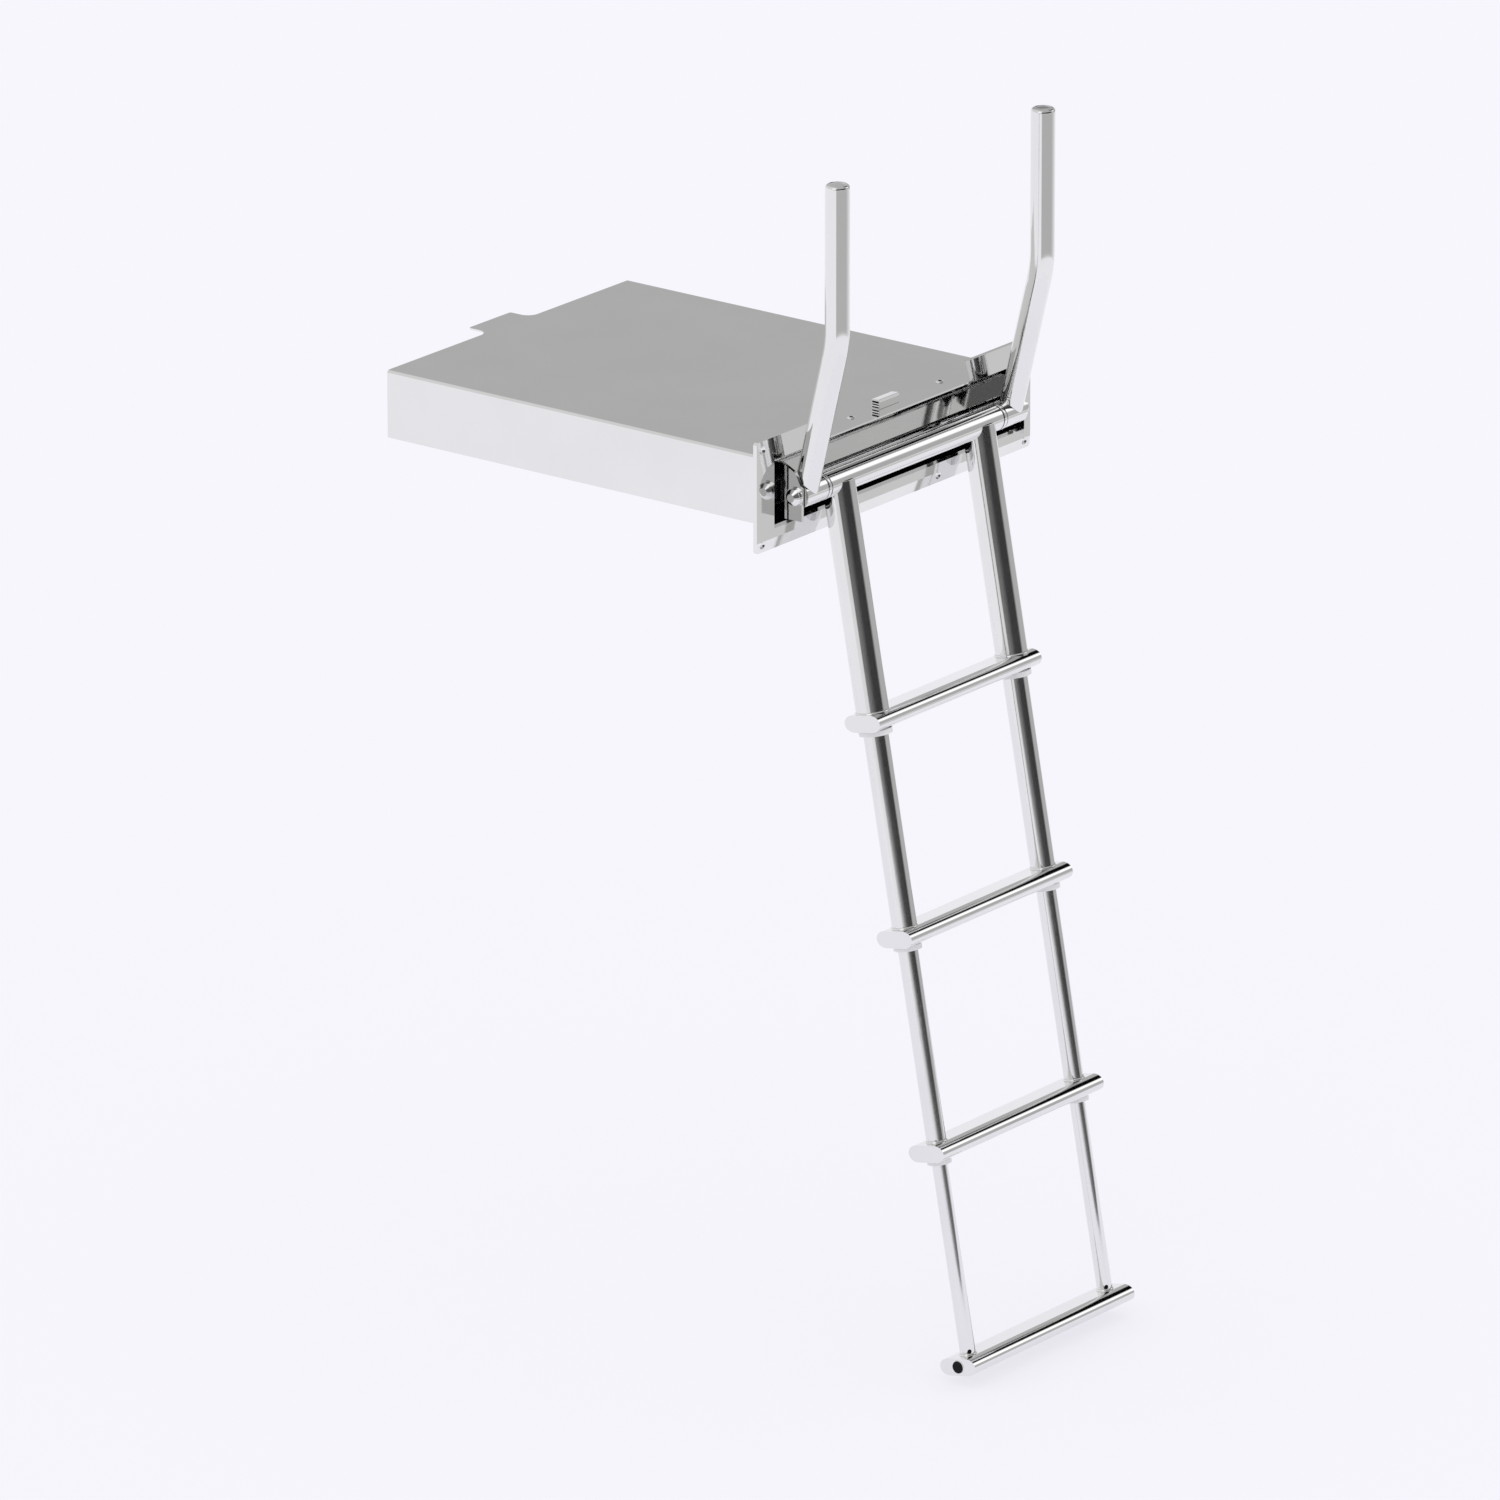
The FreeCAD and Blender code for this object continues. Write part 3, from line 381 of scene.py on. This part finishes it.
for side_name, _ in handle_sides:
    node = f"handle_{side_name}_cap"
    middle = [(corner(node, max, axis) + corner(node, min, axis)) / 2 for axis in range(2)]
    cap_seat = Matrix.Translation((*middle, corner(node, max, 2) - cap_height))
    cap = settle(turned(f"handle_cap_{side_name}", cap_profile, 64), cap_seat, small_steel,
                 f"handle_{side_name}", 50.0)
    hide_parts(node)

# Lid screws
# Two small stainless screws in the lid, near its front edge. Each is seen only as a bright spot with a dark dot,
# so the round socket in a low domed head is a guess.
lid_top = corner("housing_lid", max, 2)
# Near-black painted shade, for the insides of the screw sockets and the latch's slots, and the faces of the flush
# rail screws.
painted_shade = plastic_finish("painted_shade_black", (0.004, 0.004, 0.004, 1.0), (0.012, 0.012, 0.012, 1.0), 0.5,
                             0.00002, 0.1)
head = [(4.8 * mm, -0.6 * mm), (4.7 * mm, 0.3 * mm), (4.0 * mm, 1.0 * mm), (2.6 * mm, 1.5 * mm),
        (2.2 * mm, 1.4 * mm), (2.0 * mm, 0.4 * mm)]
socket_reach, socket_floor = 2.15 * mm, 0.2 * mm


def socket_screw(name, turn, body):
    """A domed screw head whose round socket is painted near-black shade."""
    screw = turned(name, head, 24)
    settle(screw, turn, small_steel, body)
    screw.data.materials.append(painted_shade)
    facing = turn.to_3x3() @ Vector((0.0, 0.0, 1.0))
    seat = turn @ Vector((0.0, 0.0, 0.0))
    for face in screw.data.polygons:
        middle = face.center - seat
        reach = (middle - facing * middle.dot(facing)).length
        # Faces inside the socket get the painted shade.
        if reach < socket_reach and middle.dot(facing) > socket_floor:
            face.material_index = 1
    return screw


for number, (screw_x, screw_y) in enumerate(((-46.0, 22.0), (123.0, 25.0)), start=1):
    socket_screw(f"lid_screw_{number}", Matrix.Translation((screw_x * mm, screw_y * mm, lid_top)), "cassette")

# Latch
# A small stainless catch on the lid: its top slopes down to the back, and a few dark strokes are seen at its left
# end. They are built as slots between layers of folded strip, which is a guess, with painted shade inside.
latch_low = Vector([corner("lid_latch", min, axis) for axis in range(3)])
latch_high = Vector([corner("lid_latch", max, axis) for axis in range(3)])
latch_size = latch_high - latch_low
bpy.ops.mesh.primitive_cube_add(size=1.0, location=(latch_low + latch_high) / 2, scale=latch_size)
latch = bpy.context.active_object
latch.name = "latch_catch"
bpy.ops.object.transform_apply(location=True, rotation=True, scale=True)
top_slope = math.radians(7.0)
slope_drop = math.tan(top_slope) * latch_size.y
for vertex in latch.data.vertices:
    if vertex.co.y > latch_low.y + latch_size.y / 2 and vertex.co.z > latch_low.z + latch_size.z / 2:
        vertex.co.z -= slope_drop
slot_deep, slot_share, edge_round = 5.0 * mm, 0.84, 0.4 * mm
for share, slot_high in ((0.16, 1.4 * mm), (0.42, 1.2 * mm), (0.67, 2.0 * mm)):
    slot_place = (latch_low.x, (latch_low.y + latch_high.y) / 2, latch_low.z + latch_size.z * share)
    bpy.ops.mesh.primitive_cube_add(size=1.0, location=slot_place,
                                    scale=(slot_deep * 2, latch_size.y * slot_share, slot_high))
    cutter = bpy.context.active_object
    bpy.ops.object.select_all(action="DESELECT")
    bpy.context.view_layer.objects.active = latch
    cut = latch.modifiers.new("slot", "BOOLEAN")
    cut.operation = "DIFFERENCE"
    cut.object = cutter
    bpy.ops.object.modifier_apply(modifier="slot")
    bpy.data.objects.remove(cutter)
rounding = latch.modifiers.new("rounding", "BEVEL")
rounding.width, rounding.segments, rounding.limit_method = edge_round, 2, "ANGLE"
bpy.ops.object.modifier_apply(modifier="rounding")
settle(latch, Matrix.Identity(4), sheet_steel, "cassette", 1.0)
# The slots' inner faces get the near-black painted shade.
latch.data.materials.append(painted_shade)
slot_mouth, slot_slack, inner_width, inner_height = 0.5 * mm, 0.1 * mm, 0.43, 0.44
for face in latch.data.polygons:
    inset = face.center - (latch_low + latch_high) / 2
    sunk = face.center.x - latch_low.x
    in_depth = slot_mouth < sunk < slot_deep + slot_slack
    in_width = abs(inset.y) < latch_size.y * inner_width and face.center.z > latch_low.z
    in_height = abs(inset.z) < latch_size.z * inner_height
    if in_depth and in_width and in_height:
        face.material_index = 1
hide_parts("lid_latch")

# Ladder's own frame
# The ladder leans out about the pivot line: x across, y inboard and z up along the rails.
pivot = Vector((0.0, -24.0 * mm, 47.0 * mm))
lean = math.radians(-10.5)
ladder = Matrix.Translation(pivot) @ Matrix.Rotation(lean, 4, "X")
first_step, step_pitch = 276.5, 250.0
step_levels = [-(first_step + step_pitch * number) * mm for number in range(4)]
rail_x = 130.0 * mm

# Pivot spacers
# A polished ring and two thin black washers at each end of the pivot tube, between it and the handles' sleeves.
# Only a pair of dark lines is seen there. That they are washers with a ring between them is a guess.
ring_end, ring_start = 165.4 * mm, 160.2 * mm
ring_bore, ring_face, ring_radius, ring_round = 14.6 * mm, 15.15 * mm, 15.3 * mm, 0.3 * mm
spacer = [(ring_bore, ring_start), (ring_face, ring_start), (ring_radius, ring_start + ring_round),
          (ring_radius, ring_end - ring_round), (ring_face, ring_end), (ring_bore, ring_end)]
inner_start, inner_end, inner_radius = 159.2 * mm, 160.1 * mm, 15.2 * mm
inner_washer = [(ring_bore, inner_start), (inner_radius, inner_start), (inner_radius, inner_end),
                (ring_bore, inner_end)]
outer_start, outer_end, outer_bore, outer_radius = 165.55 * mm, 166.45 * mm, 12.0 * mm, 14.95 * mm
outer_washer = [(outer_bore, outer_start), (outer_radius, outer_start), (outer_radius, outer_end),
                (outer_bore, outer_end)]
for side_name, sign in handle_sides:
    turn = Matrix.Translation(pivot) @ Matrix.Rotation(math.radians(90.0 * sign), 4, "Y")
    settle(turned(f"pivot_spacer_{side_name}", spacer, 64, ring=True), turn, tube_steel, "ladder_stage_1")
    settle(turned(f"pivot_washer_inner_{side_name}", inner_washer, 64, ring=True), turn, black_plastic,
           "ladder_stage_1")
    settle(turned(f"pivot_washer_outer_{side_name}", outer_washer, 64, ring=True), turn, black_plastic,
           "ladder_stage_1")

# Welds at the rails' feet
# A small polished bead all round the foot of each rail, where it is welded to its tread. Such ladders are welded
# there, but the beads themselves aren't made out in the picture.
step_top = 10.0 * mm
rail_radii = (19.0 * mm, 14.5 * mm, 11.5 * mm, 9.0 * mm)
for number, rail_radius in enumerate(rail_radii):
    bead = [(rail_radius - 0.6 * mm, 1.7 * mm), (rail_radius + 0.25 * mm, 1.7 * mm),
            (rail_radius + 0.8 * mm, 1.1 * mm), (rail_radius + 1.3 * mm, 0.3 * mm),
            (rail_radius + 1.4 * mm, -1.9 * mm), (rail_radius - 0.6 * mm, -1.9 * mm)]
    for side_name, sign in handle_sides:
        foot = ladder @ Matrix.Translation((rail_x * sign, 0.0, step_levels[number] + step_top))
        settle(turned(f"rail_weld_{number + 1}_{side_name}", bead, 64, ring=True), foot, small_steel,
               f"ladder_stage_{number + 1}", 60.0)

# Screws of the lowest rails
# A dark spot is seen in the outer front of each lowest rail, just over the tread. It is built as a screw sunk
# flush, which is a guess, so that the bush above can still slide over it. Its face is painted near-black shade.
screw_turn, screw_level, flush = math.radians(-37.0), -1012.3 * mm, 9.03 * mm
screw_radius, screw_inner, screw_outer, trim_depth = 2.5 * mm, 7.6 * mm, 9.6 * mm, 8.0 * mm
forward = Matrix.Rotation(math.radians(90.0), 4, "X")
for side_name, sign in handle_sides:
    screw = turned(f"rail_screw_4_{side_name}", [(screw_radius, screw_inner), (screw_radius, screw_outer)], 32)
    screw.matrix_world = Matrix.Rotation(screw_turn, 4, "Z") @ forward
    bpy.ops.mesh.primitive_cylinder_add(vertices=256, radius=flush, depth=trim_depth)
    rail_shape = bpy.context.active_object
    bpy.ops.object.select_all(action="DESELECT")
    bpy.context.view_layer.objects.active = screw
    trim = screw.modifiers.new("flush", "BOOLEAN")
    trim.operation, trim.object = "INTERSECT", rail_shape
    bpy.ops.object.modifier_apply(modifier="flush")
    bpy.data.objects.remove(rail_shape)
    turn = ladder @ Matrix.Translation((rail_x * sign, 0.0, screw_level)) @ screw.matrix_world
    # The screw's face gets the near-black painted shade.
    settle(screw, turn, painted_shade, "ladder_stage_4", 20.0)

# Plug rims
# A thin steel ring round each black plug in the lowest tread's ends, which is a guess. The bright line seen round
# the left plug could as well be the edge of the tread's own hole, or a halo left by the picture's sharpening.
rim_bore = 7.05 * mm
plug_rim = [(rim_bore, 0.0), (8.4 * mm, 0.0), (8.3 * mm, 0.35 * mm), (7.7 * mm, 0.6 * mm),
            (rim_bore, 0.35 * mm)]
step_end = corner("step_4", max, 0)
for side_name, sign in handle_sides:
    rim_turn = ladder @ Matrix.Translation((step_end * sign, 0.0, step_levels[3]))
    rim_turn = rim_turn @ Matrix.Rotation(math.radians(90.0 * sign), 4, "Y")
    settle(turned(f"plug_rim_{side_name}", plug_rim, 48, ring=True), rim_turn, small_steel, "ladder_stage_4")
